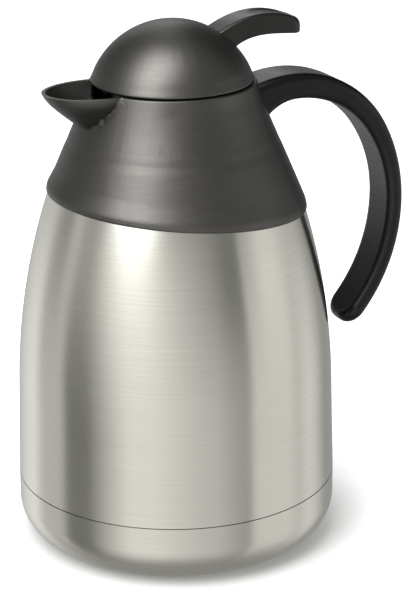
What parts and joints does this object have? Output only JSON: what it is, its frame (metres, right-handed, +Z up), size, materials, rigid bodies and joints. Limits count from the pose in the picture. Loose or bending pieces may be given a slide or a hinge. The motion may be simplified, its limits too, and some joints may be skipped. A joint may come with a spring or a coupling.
{
  "type": "thermal carafe with flip lid",
  "caption": "Insulated steel jug with a rounded shoulder, cone collar and spout, a C-shaped strap handle, and a domed screw-in stopper whose thumb lever opens the pour valve.",
  "frame": {"origin": "centre of the steel ring that the carafe stands on, at table height", "axes": "+Z up along the vessel's axis; the spout points along -X and the handle along +X; Y across"},
  "size_m": [0.1784, 0.1398, 0.2299],
  "materials": {
    "steel": "fine circumferential brush",
    "liner_steel": "electropolished satin",
    "solder": "dull",
    "getter_metal": "sintered",
    "collar_plastic": "fine satin grain",
    "handle_plastic": "smooth satin",
    "black_plastic": "semi-matt",
    "silicone": "matt",
    "foam": "foamed",
    "screw_steel": "plain stainless"
  },
  "bodies": {
    "vessel": {"outer_shell": "steel", "base_cup": "steel", "inner_liner": "liner_steel", "vacuum_floor": "liner_steel", "vacuum_seal": "solder", "getter": "getter_metal", "collar": "collar_plastic", "neck_gasket": "silicone", "throat_ring": "black_plastic", "handle": "handle_plastic", "handle_screws": "screw_steel"},
    "lid_carrier": {"stopper_gasket": "silicone"},
    "lid": {"stopper_body": "black_plastic", "stopper_foam": "foam", "stopper_cap": "black_plastic", "stopper_plate": "black_plastic", "stem_seal": "silicone", "plate_screws": "screw_steel", "lid_dome": "collar_plastic", "dome_screws": "screw_steel", "lever_pin": "screw_steel", "valve_spring": "screw_steel"},
    "lever": {"thumb_lever": "handle_plastic"},
    "valve": {"valve_stem": "black_plastic", "valve_seal": "silicone", "lever_yoke": "black_plastic", "stem_nut": "screw_steel"}
  },
  "joints": [
    {"name": "lid_rise", "type": "slide", "parent": "vessel", "child": "lid_carrier", "axis": [0, 0, 1], "range_m": [0, 0.048]},
    {"name": "lid_turn", "type": "hinge", "parent": "lid_carrier", "child": "lid", "pos_m": [0, 0, 0], "axis": [0, 0, 1], "range_deg": [0, 720]},
    {"name": "lever_press", "type": "hinge", "parent": "lid", "child": "lever", "pos_m": [0.021, 0, 0.211], "axis": [0, 1, 0], "range_deg": [0, 14], "stiffness_Nm_per_rad": 0.35, "springref_deg": -20.05},
    {"name": "valve_lift", "type": "slide", "parent": "lid", "child": "valve", "axis": [0, 0, 1], "range_m": [0, 0.00515], "deforming": ["valve_spring"]}
  ],
  "couplings": [
    {"joint": "lid_rise", "follows": "lid_turn", "m_per_rad": 0.0038197},
    {"joint": "valve_lift", "follows": "lever_press", "m_per_rad": 0.021077}
  ]
}
